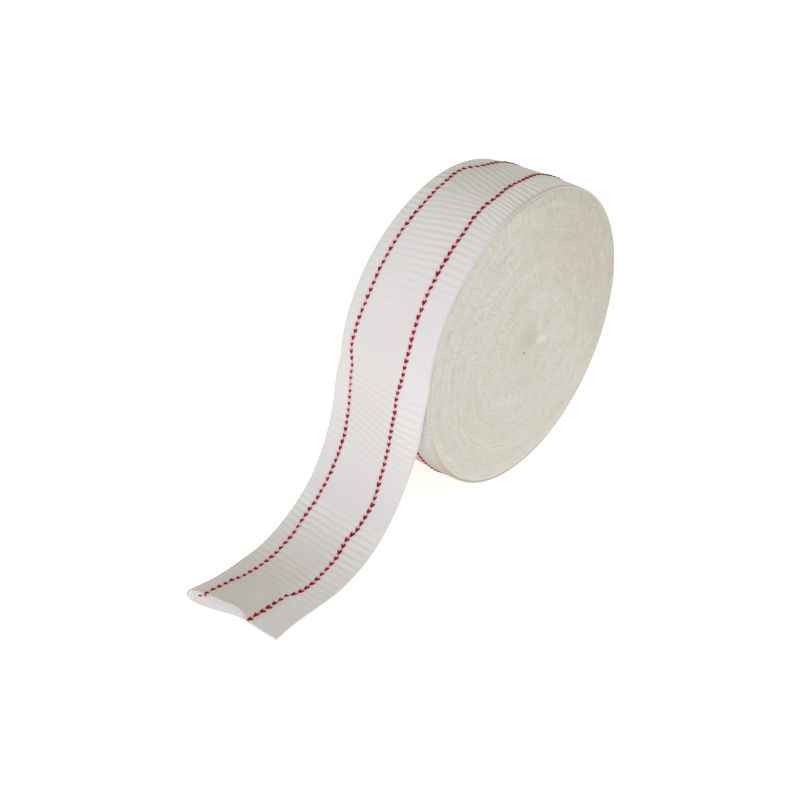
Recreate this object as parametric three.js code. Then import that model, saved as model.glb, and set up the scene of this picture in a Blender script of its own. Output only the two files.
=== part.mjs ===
// Tubular bandage roll: a knitted tube pressed flat and wound on itself, its loose end let down to the floor.
// Millimetres, +Z up. The roll's axis lies along Y, its seen face looks to -Y, and the loose end runs to -X.
// The origin is on the floor, at the middle of the small flat spot that the roll rests on.

import * as THREE from "three";
import { mergeVertices } from "three/addons/utils/BufferGeometryUtils.js";

// The tape is the tube laid flat: two layers of knit, folded at both edges.
const tapeWidth = 36;
const halfWidth = tapeWidth / 2;
const slackThickness = 1.2;
const pressedThickness = 1.0;
const slackBegins = 10;
const slackInFull = 35;
const pieceGap = 0.3;

// The roll.
const outerRadius = 54.7;
const axisHeight = 53.7;
const nearShoulderDrop = 1.4;
const farShoulderDrop = 0.8;
const shoulderPower = 3;
const cornerRadius = 0.7;
// The roll stands a little taller than wide, and sags to one side at its foot.
const outOfRound = 0.2;
const footSag = 0.1;
const footSagTurn = 1.6;

// The outer turn ends in a step, one lapped thickness high, where the loose end goes on from it.
// Turn angles start at the roll's top and grow towards -X, down the side where the loose end hangs.
const stepAngle = 62;
const stepLength = 0.6;
const turnClimb = pressedThickness + pieceGap;

// Rings of the roll's two faces, from the core out: how far the turns there stand out (+) or lie back (-).
const faceRings = [
  { radius: 4.5, rise: -0.6 },
  { radius: 9, rise: -0.1 },
  { radius: 18, rise: 0.2 },
  { radius: 27, rise: -0.2 },
  { radius: 36, rise: 0.1 },
  { radius: 44, rise: -0.3 },
  { radius: 49.5, rise: 0.0 },
];
const coreRise = -1.0;
// The first fold that the tape is wound on is flat, so the turns next to it are longer than wide.
// It lies a little off the roll's axis, and the turns come round to the axis as they grow.
const firstFoldLength = 9.5;
const firstFoldRise = 12;
const firstFoldCentre = new THREE.Vector2(4.3, -3.4);
const firstFoldReach = 9;
const outermostTurnSetback = 0.6;

// The loose end's underside, from where it leaves the roll: x and z at the middle of its width,
// near and far: how far that edge stands off the middle, outwards from the roll,
// shift: its drift to +Y, and width: its own width there.
const hangingStations = [
  { x: -54.5, z: 51.5, near: -1.1, far: 1.0, shift: 1.0, width: 36 },
  { x: -56.7, z: 38.0, near: -0.8, far: 0.8, shift: 1.8, width: 36 },
  { x: -61.3, z: 25.1, near: -0.4, far: 0.4, shift: 2.6, width: 36 },
  { x: -68.6, z: 13.4, near: -0.3, far: 0.3, shift: 3.2, width: 36 },
  { x: -79.0, z: 4.3, near: -0.2, far: 0.4, shift: 3.7, width: 36 },
  { x: -91.5, z: 0.3, near: 0, far: 0, shift: 3.5, width: 35.2 },
  { x: -101.0, z: 0, near: 0, far: 0, shift: 3.4, width: 34.2 },
  { x: -111.0, z: 0, near: 0, far: 0, shift: 3.6, width: 33.8 },
  { x: -119.8, z: 0, near: 0, far: 0, shift: 4.3, width: 36 },
];
const lapAngles = [70, 77, 83.5];
const farLiftOnLap = 1.6;
const loosePathSteps = 58;
const pathFineness = 800;

// The cut end, across the width: how far the lower and the upper layer reach past a square cut,
// and how far the two layers gape there.
const cutStations = [
  { across: -18, lower: -0.4, upper: -0.4, gape: 0 },
  { across: -10, lower: 0.3, upper: 0.3, gape: 0 },
  { across: -5, lower: 0.1, upper: 0.3, gape: 0 },
  { across: -2, lower: 0.4, upper: -0.5, gape: 0.8 },
  { across: 2, lower: 2.1, upper: -0.5, gape: 1.8 },
  { across: 6, lower: 4.0, upper: 0.5, gape: 2.2 },
  { across: 10, lower: 5.4, upper: 2.1, gape: 2.1 },
  { across: 14, lower: 6.1, upper: 3.3, gape: 1.7 },
  { across: 18, lower: 5.0, upper: 4.4, gape: 0.5 },
];
const slantLength = 26;
const gapeLength = 20;
const layerThickness = 0.55;
const mouthDepth = 16;

// Where a section has its points, and which of them the open mouth spans.
const acrossStations = [-17.6, -15, -11, -7, -4, -1.5, 1, 3.5, 6.5, 9.5, 12, 14.5, 16.4, 17.6];
const mouthFirst = 4;
const mouthLast = 12;

const toRadians = THREE.MathUtils.degToRad;
const smooth = THREE.MathUtils.smoothstep;

function shoulderOffset(across, nearEdge, farEdge) {
  const edge = across < 0 ? nearEdge : farEdge;
  return edge * Math.pow(Math.abs(across) / halfWidth, shoulderPower);
}

// The roll's radius at the middle of the tape, climbing one lap in a turn, a little out of round.
function turnRadius(angle) {
  const alongTurn = THREE.MathUtils.euclideanModulo(angle - stepAngle, 360) / 360;
  const a = toRadians(angle);
  const wave = outOfRound * Math.cos(2 * a) + footSag * Math.sin(3 * a - footSagTurn);
  return outerRadius - turnClimb * (1 - alongTurn) + wave;
}

function onTurn(angle, radius) {
  const a = toRadians(angle);
  return new THREE.Vector2(-radius * Math.sin(a), axisHeight + radius * Math.cos(a));
}

// A wall from rings of equal length, each given as points in order. Its ends are closed by the caller.
function addRings(mesh, rings, turnedIn) {
  const first = mesh.points.length;
  const count = rings[0].length;
  for (const ring of rings) {
    mesh.points.push(...ring);
  }
  for (let r = 0; r + 1 < rings.length; r += 1) {
    for (let k = 0; k < count; k += 1) {
      const a = first + r * count + k;
      const b = first + r * count + (k + 1) % count;
      addTriangle(mesh, [a, b, b + count], turnedIn);
      addTriangle(mesh, [a, b + count, a + count], turnedIn);
    }
  }
  return { start: first, end: first + (rings.length - 1) * count, count };
}

function addTriangle(mesh, corners, turnedIn) {
  mesh.triangles.push(turnedIn ? [corners[0], corners[2], corners[1]] : corners);
}

function addFan(mesh, ringStart, count, centre, turnedIn) {
  const hub = mesh.points.push(centre) - 1;
  for (let k = 0; k < count; k += 1) {
    addTriangle(mesh, [ringStart + k, ringStart + (k + 1) % count, hub], turnedIn);
  }
}

function addPolygon(mesh, corners) {
  for (let k = 1; k + 1 < corners.length; k += 1) {
    mesh.triangles.push([corners[0], corners[k], corners[k + 1]]);
  }
}

function toGeometry(mesh) {
  const geometry = new THREE.BufferGeometry();
  const flat = mesh.points.flatMap((p) => [p.x, p.y, p.z]);
  geometry.setAttribute("position", new THREE.Float32BufferAttribute(flat, 3));
  geometry.setIndex(mesh.triangles.flat());
  const merged = mergeVertices(geometry, 1e-5);
  merged.computeVertexNormals();
  return merged;
}

// The wound roll: rings from the near core over the near face, the rim and the far face to the far core.
const rollColumns = 96;
const rimAcross = [-14.5, -10, -5, 0, 5, 10, 14.5];

function rollAngles() {
  const angles = [stepAngle, stepAngle + THREE.MathUtils.radToDeg(stepLength / outerRadius)];
  for (let k = 1; k < rollColumns; k += 1) {
    angles.push(stepAngle + k * 360 / rollColumns);
  }
  return angles;
}

// Turns near the core are stretched along the first fold, and round again further out.
function facePoint(angle, radius, across) {
  const stretch = firstFoldLength / 2 * Math.exp(-radius / firstFoldLength);
  const alongFold = Math.abs(Math.cos(toRadians(angle + 90 + firstFoldRise)));
  const spot = onTurn(angle, radius + stretch * alongFold);
  const shift = Math.exp(-Math.pow(radius / firstFoldReach, 2));
  return new THREE.Vector3(spot.x + firstFoldCentre.x * shift, across, spot.y + firstFoldCentre.y * shift);
}

function corePoint(across) {
  return new THREE.Vector3(firstFoldCentre.x, across, axisHeight + firstFoldCentre.y);
}

function rimPoint(angle, across, inset) {
  const isStepTop = angle === stepAngle;
  const radius = isStepTop ? turnRadius(angle) + turnClimb : turnRadius(angle);
  const shoulder = shoulderOffset(across, -nearShoulderDrop, -farShoulderDrop);
  const spot = onTurn(angle, radius + shoulder - inset);
  return new THREE.Vector3(spot.x, across, Math.max(spot.y, 0));
}

function woundRoll() {
  const angles = rollAngles();
  const shoulder = halfWidth - cornerRadius;
  const rimStations = [-shoulder, ...rimAcross, shoulder];
  const rings = [];
  for (const ring of faceRings) {
    rings.push(angles.map((angle) => facePoint(angle, ring.radius, -halfWidth - ring.rise)));
  }
  const nearEdge = -halfWidth + outermostTurnSetback;
  const farEdge = halfWidth - outermostTurnSetback;
  rings.push(angles.map((angle) => rimPoint(angle, nearEdge, cornerRadius)));
  for (const across of rimStations) {
    rings.push(angles.map((angle) => rimPoint(angle, across, 0)));
  }
  rings.push(angles.map((angle) => rimPoint(angle, farEdge, cornerRadius)));
  for (const ring of [...faceRings].reverse()) {
    rings.push(angles.map((angle) => facePoint(angle, ring.radius, halfWidth + ring.rise)));
  }
  const mesh = { points: [], triangles: [] };
  const span = addRings(mesh, rings, true);
  addFan(mesh, span.start, span.count, corePoint(-halfWidth - coreRise), false);
  addFan(mesh, span.end, span.count, corePoint(halfWidth + coreRise), true);
  return toGeometry(mesh);
}

// The loose end: a section of the flattened tube, carried along its underside path.
function lapStations() {
  const angles = [stepAngle + THREE.MathUtils.radToDeg((stepLength + pieceGap) / outerRadius), ...lapAngles];
  const last = lapAngles[lapAngles.length - 1];
  return angles.map((angle) => {
    const spot = onTurn(angle, turnRadius(angle) + pieceGap);
    const lift = farLiftOnLap * smooth(angle, stepAngle, last);
    const far = lift - farShoulderDrop;
    return { x: spot.x, z: spot.y, near: -nearShoulderDrop, far, shift: 0, width: tapeWidth };
  });
}

function columnCurve(stations, column) {
  return new THREE.SplineCurve(stations.map((s, k) => new THREE.Vector2(k, s[column])));
}

function looseEndFrames() {
  const stations = [...lapStations(), ...hangingStations];
  const path = new THREE.CatmullRomCurve3(
    stations.map((s) => new THREE.Vector3(s.x, 0, s.z)), false, "centripetal");
  path.arcLengthDivisions = pathFineness;
  const length = path.getLength();
  const columns = ["near", "far", "shift", "width"].map((name) => columnCurve(stations, name));
  const frames = [];
  for (let k = 0; k <= loosePathSteps; k += 1) {
    const u = k / loosePathSteps;
    const t = path.getUtoTmapping(u);
    const spot = path.getPoint(t);
    const tangent = path.getTangent(t);
    const [near, far, shift, width] = columns.map((curve) => curve.getPoint(t).y);
    frames.push({
      x: spot.x, z: spot.z, near, far, shift, width,
      outX: tangent.z, outZ: -tangent.x,
      fromStart: u * length, toCut: (1 - u) * length,
    });
  }
  return frames;
}

// A value of the cut end's table, straight between its rows.
function atCut(column, across) {
  const next = Math.max(1, cutStations.findIndex((row) => row.across >= across));
  const [from, to] = [cutStations[next - 1], cutStations[next]];
  const along = (across - from.across) / (to.across - from.across);
  return THREE.MathUtils.lerp(from[column], to[column], along);
}

// How far the upper layer is lifted off the lower one, across the width and towards the cut.
function gape(across, toCut) {
  return atCut("gape", across) * (1 - smooth(toCut, 0, gapeLength));
}

function thicknessAt(frame) {
  const slack = smooth(frame.fromStart, slackBegins, slackInFull);
  return THREE.MathUtils.lerp(pressedThickness, slackThickness, slack);
}

// A point of a section: across the full width, height over the underside,
// and top: 1 on the upper layer, 0 on the lower one and between them on a fold.
function placed(frame, { across, height, top }) {
  const towardsCut = 1 - smooth(frame.toCut, 0, slantLength);
  const past = towardsCut * THREE.MathUtils.lerp(atCut("lower", across), atCut("upper", across), top);
  const out = height + shoulderOffset(across, frame.near, frame.far);
  const z = frame.z + out * frame.outZ;
  return new THREE.Vector3(
    frame.x + out * frame.outX - past,
    across * frame.width / tapeWidth + frame.shift,
    Math.max(z, 0));
}

// A section's outline: the near fold, the upper layer from near to far, the far fold, the lower layer back.
function outerSection(frame) {
  const thickness = thicknessAt(frame);
  const raised = (across) => thickness + gape(across, frame.toCut);
  const top = acrossStations.map((across) => ({ across, height: raised(across), top: 1 }));
  const farFoldHeight = (thickness + gape(halfWidth, frame.toCut)) / 2;
  const nearFold = { across: -halfWidth, height: thickness / 2, top: 0.5 };
  const farFold = { across: halfWidth, height: farFoldHeight, top: 0.5 };
  const bottom = [...acrossStations].reverse().map((across) => ({ across, height: 0, top: 0 }));
  return [nearFold, ...top, farFold, ...bottom];
}

function innerSection(frame) {
  const inside = acrossStations.slice(mouthFirst, mouthLast + 1);
  const ceiling = (across) => thicknessAt(frame) + gape(across, frame.toCut) - layerThickness;
  const top = inside.map((across) => ({ across, height: ceiling(across), top: 1 }));
  const bottom = [...inside].reverse().map((across) => ({ across, height: layerThickness, top: 0 }));
  return [...top, ...bottom];
}

function sectionRing(frame, section) {
  return section.map((spot) => placed(frame, spot));
}

// Closes a section across its height, column by column, but leaves the mouth open where one is given.
function addEndFace(mesh, outerStart, innerStart) {
  const last = acrossStations.length - 1;
  const mouthCount = mouthLast - mouthFirst + 1;
  const isMouth = (k) => innerStart !== null && k >= mouthFirst && k <= mouthLast;
  const top = (k) => outerStart + 1 + k;
  const bottom = (k) => outerStart + 2 * last + 3 - k;
  const innerTop = (k) => innerStart + k - mouthFirst;
  const innerBottom = (k) => innerStart + 2 * mouthCount - 1 - (k - mouthFirst);
  const under = (k) => (isMouth(k) ? innerTop(k) : bottom(k));
  addPolygon(mesh, [outerStart, top(0), bottom(0)]);
  for (let k = 0; k < last; k += 1) {
    addPolygon(mesh, [top(k), top(k + 1), under(k + 1), under(k)]);
    if (isMouth(k) && isMouth(k + 1)) {
      addPolygon(mesh, [innerBottom(k), innerBottom(k + 1), bottom(k + 1), bottom(k)]);
    } else if (isMouth(k + 1)) {
      addPolygon(mesh, [bottom(k), innerTop(k + 1), innerBottom(k + 1), bottom(k + 1)]);
    } else if (isMouth(k)) {
      addPolygon(mesh, [bottom(k + 1), bottom(k), innerBottom(k), innerTop(k)]);
    }
  }
  addPolygon(mesh, [top(last), outerStart + last + 2, bottom(last)]);
}

// The pocket's inner end, closed in the same way between its ceiling and its floor.
function addPocketEnd(mesh, innerStart) {
  const mouthCount = mouthLast - mouthFirst + 1;
  for (let k = 0; k + 1 < mouthCount; k += 1) {
    const below = innerStart + 2 * mouthCount - 1 - k;
    addPolygon(mesh, [innerStart + k, innerStart + k + 1, below - 1, below]);
  }
}

function looseEnd() {
  const frames = looseEndFrames();
  const mouthFrames = frames.filter((frame) => frame.toCut <= mouthDepth);
  const mesh = { points: [], triangles: [] };
  const outer = addRings(mesh, frames.map((frame) => sectionRing(frame, outerSection(frame))), false);
  const inner = addRings(mesh, mouthFrames.map((frame) => sectionRing(frame, innerSection(frame))), true);
  addEndFace(mesh, outer.end, inner.end);
  addPocketEnd(mesh, inner.start);
  const butt = { points: mesh.points, triangles: [] };
  addEndFace(butt, outer.start, null);
  butt.triangles.forEach((triangle) => addTriangle(mesh, triangle, true));
  return toGeometry(mesh);
}

const knit = new THREE.MeshStandardMaterial({ color: 0xe2ded6, roughness: 0.95, metalness: 0 });
const knitEdges = new THREE.MeshStandardMaterial({ color: 0xd8d2c4, roughness: 0.97, metalness: 0 });

function named(name, geometry, material) {
  const piece = new THREE.Mesh(geometry, material);
  piece.name = name;
  return piece;
}

const bandage = new THREE.Group();
bandage.add(named("wound_roll", woundRoll(), knitEdges));
bandage.add(named("loose_end", looseEnd(), knit));

export default bandage;
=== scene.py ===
import math

import bpy
import numpy as np
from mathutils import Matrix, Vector


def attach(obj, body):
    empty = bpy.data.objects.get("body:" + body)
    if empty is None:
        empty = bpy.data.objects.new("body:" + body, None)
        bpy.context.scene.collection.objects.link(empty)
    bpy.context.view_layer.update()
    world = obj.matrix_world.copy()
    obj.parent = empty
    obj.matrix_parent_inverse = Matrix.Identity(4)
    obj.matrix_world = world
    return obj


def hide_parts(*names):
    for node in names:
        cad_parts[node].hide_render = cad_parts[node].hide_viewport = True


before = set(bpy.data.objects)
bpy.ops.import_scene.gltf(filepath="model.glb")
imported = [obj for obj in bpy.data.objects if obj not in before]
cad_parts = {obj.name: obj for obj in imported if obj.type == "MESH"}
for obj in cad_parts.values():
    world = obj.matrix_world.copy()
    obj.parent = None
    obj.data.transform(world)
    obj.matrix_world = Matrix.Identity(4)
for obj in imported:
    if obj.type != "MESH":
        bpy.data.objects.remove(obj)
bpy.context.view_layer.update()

# The wound turns: some ten metres of knitted cotton tube, laid flat and wound tight round their own
# first fold, without a core. What shows of them is the roll's two faces, where each turn ends in a
# soft folded edge. Each half of the width is one closed body, and the two meet in the middle.
mm = 0.001
half_width = 18.0 * mm
axis_height = 53.7 * mm
roll_radius = 54.7 * mm
turn_pitch = 0.95 * mm
out_of_round = 0.2 * mm
foot_sag, foot_sag_turn = 0.1 * mm, 1.6
# Angles are in degrees from the roll's top towards -X, and go down by 360 with each turn inwards. The
# outer turn is the tape's: it starts, hidden, at tape_starts, and at step_angle its loose end begins.
step_angle = 62.0
tape_starts = -288.0
first_fold_length = 9.5 * mm
first_fold_rise = 12.0
first_fold_centre = (4.3 * mm, -3.4 * mm)
first_fold_reach = 9.0 * mm
innermost = 1.3 * turn_pitch
# The outer turns' edges have slipped in a little: how far the roll is slimmer at its two faces.
near_shoulder_drop, far_shoulder_drop = 0.6 * mm, 0.8 * mm


def out_of_true(angle):
    """How far the roll's rim stands out from a true circle."""
    a = np.radians(angle)
    return out_of_round * np.cos(2 * a) + foot_sag * np.sin(3 * a - foot_sag_turn)


def wound_radius(angle):
    """How far the wound tape's outer side is from the axis, at the middle of its width."""
    plain = roll_radius - turn_pitch * (step_angle - angle) / 360
    return plain + out_of_true(angle) * (plain / roll_radius) ** 2


def smooth(value, low, high):
    t = np.clip((value - low) / (high - low), 0, 1)
    return t * t * (3 - 2 * t)


def drift(along, cell, seed):
    """A soft random value from -1 to 1 that changes every cell of length along a line."""
    place = np.asarray(along) / cell
    first = np.floor(place.min())
    knots = np.random.default_rng(seed).uniform(-1, 1, int(place.max() - first) + 3)
    index = (np.floor(place) - first).astype(int)
    t = smooth(place - np.floor(place), 0, 1)
    return knots[index] * (1 - t) + knots[index + 1] * t


def between_knots(u, v, shape, seed):
    """A soft random value from -1 to 1 on a grid of this shape, which comes round again along u."""
    iu, iv = np.floor(u).astype(int), np.floor(v).astype(int)
    tu, tv = smooth(u - iu, 0, 1), smooth(v - iv, 0, 1)
    knots = np.random.default_rng(seed).uniform(-1, 1, shape)
    here, ahead = iu % shape[0], (iu + 1) % shape[0]
    low = knots[here, iv] * (1 - tu) + knots[ahead, iv] * tu
    high = knots[here, iv + 1] * (1 - tu) + knots[ahead, iv + 1] * tu
    return low * (1 - tv) + high * tv


def patches(x, z, cell, seed):
    """A soft random value from -1 to 1 that changes every cell over a surface."""
    return between_knots(x / cell + 60, z / cell + 60, (160, 160), seed)


def around(angle, radius, band, seed):
    """A soft random value from -1 to 1 in streaks that run round a face, an eighth of a turn long."""
    return between_knots(np.mod(angle / 45, 8), radius / band, (8, 60), seed)


def object_from(name, data):
    made = bpy.data.objects.new(name, data)
    bpy.context.scene.collection.objects.link(made)
    return made


def piece_from(name, points, faces, values, corner_uv=None):
    """A smooth mesh piece of quads and triangles, with values at its points and a UV map by corners."""
    mesh = bpy.data.meshes.new(name)
    rows = [face.tolist() for group in faces for face in group]
    mesh.from_pydata(np.asarray(points, float).tolist(), [], rows)
    if corner_uv is not None:
        layer = mesh.uv_layers.new(name="along_tape")
        layer.data.foreach_set("uv", np.asarray(corner_uv, np.float32).ravel())
    for key, numbers in values.items():
        attribute = mesh.attributes.new(key, "FLOAT", "POINT")
        attribute.data.foreach_set("value", np.asarray(numbers, np.float32).ravel())
    mesh.polygons.foreach_set("use_smooth", [True] * len(mesh.polygons))
    mesh.validate()
    return object_from(name, mesh)


class Wire:
    """A value in a node tree; sums, products and the like of wires add Math nodes to the tree."""

    def __init__(self, socket):
        self.socket = socket
        self.tree = socket.id_data

    def maths(self, operation, *others):
        numbered = dict(enumerate((self, *others)))
        return add_node(self.tree, "ShaderNodeMath", numbered, operation=operation)

    def __add__(self, other):
        return self.maths("ADD", other)

    def __sub__(self, other):
        return self.maths("SUBTRACT", other)

    def __rsub__(self, other):
        return self * -1 + other

    def __mul__(self, other):
        return self.maths("MULTIPLY", other)

    def __truediv__(self, other):
        return self.maths("DIVIDE", other)

    __radd__, __rmul__ = __add__, __mul__

    def beside(self, output):
        """Another output of the node that this wire leaves."""
        return Wire(self.socket.node.outputs[output])


def add_node(tree, kind, inputs=None, output=0, **settings):
    """Adds a node: first its settings, then its inputs, each a number, a colour or a wire."""
    node = tree.nodes.new(kind)
    for key, value in settings.items():
        setattr(node, key, value)
    for key, value in (inputs or {}).items():
        if isinstance(value, Wire):
            tree.links.new(value.socket, node.inputs[key])
        else:
            node.inputs[key].default_value = value
    return Wire(node.outputs[output])


def new_material(name):
    material = bpy.data.materials.new(name)
    material.use_nodes = True
    material.node_tree.nodes.clear()
    return material


def finish_material(material, inputs):
    """Ends a material with one shader of these inputs."""
    tree = material.node_tree
    shader = add_node(tree, "ShaderNodeBsdfPrincipled", inputs)
    sink = tree.nodes.new("ShaderNodeOutputMaterial")
    tree.links.new(shader.socket, sink.inputs["Surface"])
    return material


def colour(red, green, blue):
    """A colour as a paint card gives it, from 0 to 255, in the linear numbers that shaders use."""
    parts = [c / 255 for c in (red, green, blue)]
    return (*[c / 12.92 if c <= 0.04045 else ((c + 0.055) / 1.055) ** 2.4 for c in parts], 1.0)


def object_place(tree):
    return add_node(tree, "ShaderNodeTexCoord", output=3)


def point_values(tree, *names):
    """What the mesh's points hold under these names, each as a single number."""
    return [add_node(tree, "ShaderNodeAttribute", output=2, attribute_name=name) for name in names]


def cloud(tree, place, scale, detail, roughness=0.6, distortion=0.0, dimensions="3D"):
    """Noise from 0 to 1: the scale is in clouds per metre where place is a place on the piece."""
    return add_node(tree, "ShaderNodeTexNoise",
                    {"Vector": place, "Scale": scale, "Detail": detail, "Roughness": roughness,
                     "Distortion": distortion}, noise_dimensions=dimensions)


def vector(tree, x=0.0, y=0.0, z=0.0):
    return add_node(tree, "ShaderNodeCombineXYZ", {0: x, 1: y, 2: z})


def bumped(tree, relief, strength, distance):
    return add_node(tree, "ShaderNodeBump", {"Strength": strength, "Distance": distance, "Height": relief})


def mix_colours(tree, factor, first, second):
    return add_node(tree, "ShaderNodeMix", {0: factor, 6: first, 7: second}, output=2, data_type="RGBA")


# The faces' drawing: strokes that run out from the core, and ridges where the turns' edges meet.
strokes_per_radian = 36.0
stroke_length = 3.6 * mm
ridge_height = 0.035 * mm
ridge_patch = 3.0 * mm
smooth_core_from, smooth_core_to = 4 * mm, 14 * mm
# How far the folded edges stand out (+) or lie back (-), from the core to the rim.
face_radii = [0, 4.5 * mm, 9 * mm, 18 * mm, 27 * mm, 36 * mm, 44 * mm, 49.5 * mm, 53.8 * mm]
face_rises = [-0.1 * mm, -0.1 * mm, 0, 0.2 * mm, -0.1 * mm, 0.1 * mm, -0.2 * mm, 0, -0.35 * mm]
# How unevenly the turns are wound: wavers along the face and swells out of it, each with the length
# over which it changes. Near the core and at the rim the turns keep their places.
broad_waver, broad_waver_cell = 0.30 * mm, 4.2 * mm
fine_waver, fine_waver_cell = 0.11 * mm, 1.7 * mm
turn_waver, turn_waver_cell = 0.10 * mm, 3.5 * mm
steady_core_from, steady_core_to, steady_rim = 0.5 * mm, 3 * mm, 3 * mm
broad_swell, broad_swell_cell = 0.25 * mm, 14 * mm
small_swell, small_swell_cell = 0.10 * mm, 4 * mm
turn_swell, turn_swell_cell = 0.04 * mm, 50 * mm
streak_swell, streak_band = 0.05 * mm, 3.8 * mm
# Single turns that stand a little proud, as thin light rings with a painted highlight in their colour, and
# how wide their crests are.
proud_radii = [27.0 * mm, 40.0 * mm]
proud_height, proud_width, proud_patch = 0.16 * mm, 0.45 * mm, 2.2 * mm
# Towards the top and +X, and round the core, the face is painted a little darker: painted shade.
painted_shade_lean = 37.0
painted_shade_from, painted_shade_to = 4.0 * mm, 50.0 * mm
painted_shade_waver, painted_shade_waver_cell = 3 * mm, 9 * mm
core_painted_shade, core_painted_shade_reach = 0.35, 13.0 * mm
# The strokes are plainer low on the face, and between these heights they grow to their full strength.
wavy_from, wavy_to, wavy_patch = -40 * mm, 10 * mm, 7 * mm
# Small marks of the near face, by x and height from the axis: the start's hole, the first fold's tip
# and a place where the folds are pressed smooth, with a pushed-up wrinkle beside it.
core_hole, core_hole_radius, core_hole_depth = (-2.1 * mm, -3.7 * mm), 0.55 * mm, 0.9 * mm
core_knot, core_knot_radius, core_knot_height = (8.4 * mm, -1.6 * mm), 2.3 * mm, 0.6 * mm
core_fold, core_fold_length, core_fold_width = (6.2 * mm, 5.4 * mm), 4.4 * mm, 1.3 * mm
pressed_spot, pressed_radius, pressed_height = (17.0 * mm, 13.0 * mm), 5.0 * mm, 0.35 * mm
wrinkle_distance, wrinkle_width, wrinkle_height = 8.6 * mm, 0.8 * mm, 0.35 * mm
wrinkle_direction, wrinkle_spread = -21.0, 55.0
# The rim under the tape, in rings by their distance from the middle of the width, and the one number
# that it holds for each of the values that the material reads.
rim_rings = [16.8 * mm, 15.4 * mm, 13.5 * mm, 11 * mm, 8 * mm, 4 * mm, 0]
rim_over_floor = 0.3 * mm
rim_value = 0.3
least_radius = 0.05 * mm
hub_depth = 0.2 * mm


def face_material():
    """Folded edges of knit seen end on: cream cotton in broken, wavy strokes that run out from the core."""
    material = new_material("knit_folded_edges")
    tree = material.node_tree
    place = object_place(tree)
    groove, streak_tone_and_highlight, painted_shade, wavy, cream_and_highlight = point_values(tree, "groove", "streak_tone_and_highlight", "painted_shade", "wavy", "cream_and_highlight")
    blotch = cloud(tree, place, 55.0, 3.0)
    fuzz = cloud(tree, place, 1500.0, 3.0, 0.65)
    wander = cloud(tree, place, 240.0, 1.0, 0.5)
    x = add_node(tree, "ShaderNodeSeparateXYZ", {0: place})
    height = x.beside(2) - axis_height
    angle = height.maths("ARCTAN2", x)
    radius = (x * x + height * height).maths("SQRT")
    outwards = vector(tree, angle * strokes_per_radian + wander * 3.0, radius / stroke_length + wander * 1.5)
    strokes = cloud(tree, outwards, 1.0, 1.0, 0.5, 0.4, "2D")
    roundwards = vector(tree, angle * 3.5 + wander * 0.4, radius / turn_pitch * 0.55 + wander * 0.8)
    streaks = cloud(tree, roundwards, 1.0, 2.0, dimensions="2D")
    stroke = (strokes - 0.5) * wavy
    cream = mix_colours(tree, blotch, colour(221, 217, 208), colour(225, 221, 214))
    streaked = mix_colours(tree, streak_tone_and_highlight, cream, colour(216, 211, 200))
    # Painted shade: darker towards the top and +X, and round the core.
    darker = mix_colours(tree, painted_shade, streaked, colour(206, 201, 189))
    spotted = mix_colours(tree, cream_and_highlight, darker, colour(238, 230, 216))
    # Painted shade in the grooves where a turn's edge falls away; the strokes, streaks and fuzz are the
    # cotton's own uneven tone.
    deep = 0.12 + groove * 0.03 - stroke * 0.50 - (streaks - 0.5) * 0.30 + (0.5 - fuzz) * 0.35
    shade = mix_colours(tree, deep.maths("MAXIMUM", 0.0), spotted, colour(140, 130, 108))
    relief = bumped(tree, 1.6 * stroke + 0.8 * fuzz + 0.9 * streaks, 0.5, 0.14 * mm)
    return finish_material(material, {"Base Color": shade, "Roughness": 0.95, "Normal": relief,
                                      "Sheen Weight": 0.15, "Specular IOR Level": 0.15})


def face_spot(angle, radius):
    """A place on a face, by x and height over the axis. Near the core the first fold draws the turns out."""
    lead = math.radians(first_fold_rise)
    turned = np.radians(angle + 90) + lead
    closeness = np.exp(-(radius / first_fold_reach) ** 2)
    stretch = first_fold_length / 2 * np.exp(-radius / (0.6 * first_fold_length))
    x = radius * np.cos(turned) + stretch * np.tanh(2.5 * np.cos(turned))
    z = radius * np.sin(turned)
    off_x, off_z = first_fold_centre
    return (x * math.cos(lead) + z * math.sin(lead) + off_x * closeness,
            -x * math.sin(lead) + z * math.cos(lead) + off_z * closeness)


def near_marks(x, z):
    """What the near face's small marks add to its rise, what they leave of the ridges, and their paleness,
    partly cream and partly painted highlight.
    """
    hole = ((x - core_hole[0]) ** 2 + (z - core_hole[1]) ** 2) / core_hole_radius ** 2
    knot = ((x - core_knot[0]) ** 2 / 2 + (z - core_knot[1]) ** 2) / core_knot_radius ** 2
    from_x, from_z = x - pressed_spot[0], z - pressed_spot[1]
    distance = np.hypot(from_x, from_z)
    pressed = np.exp(-(distance / pressed_radius) ** 2)
    off = np.degrees(np.arctan2(from_z, from_x)) - wrinkle_direction
    wrinkle = np.exp(-((distance - wrinkle_distance) / wrinkle_width) ** 2 - (off / wrinkle_spread) ** 4)
    fold = ((x - core_fold[0]) / core_fold_width) ** 2 + ((z - core_fold[1]) / core_fold_length) ** 2
    # Paleness: partly the cream of the first fold's tip, partly a painted highlight on the raised knot, fold
    # and wrinkle, and less in the hole.
    pale = 0.8 * np.exp(-knot) + 0.55 * np.exp(-fold) + 0.2 * wrinkle - 0.8 * np.exp(-hole)
    rise = core_knot_height * (np.exp(-knot) + 0.5 * np.exp(-fold)) - core_hole_depth * np.exp(-hole)
    return rise + pressed_height * pressed + wrinkle_height * wrinkle, 1 - 0.8 * pressed, pale


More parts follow.
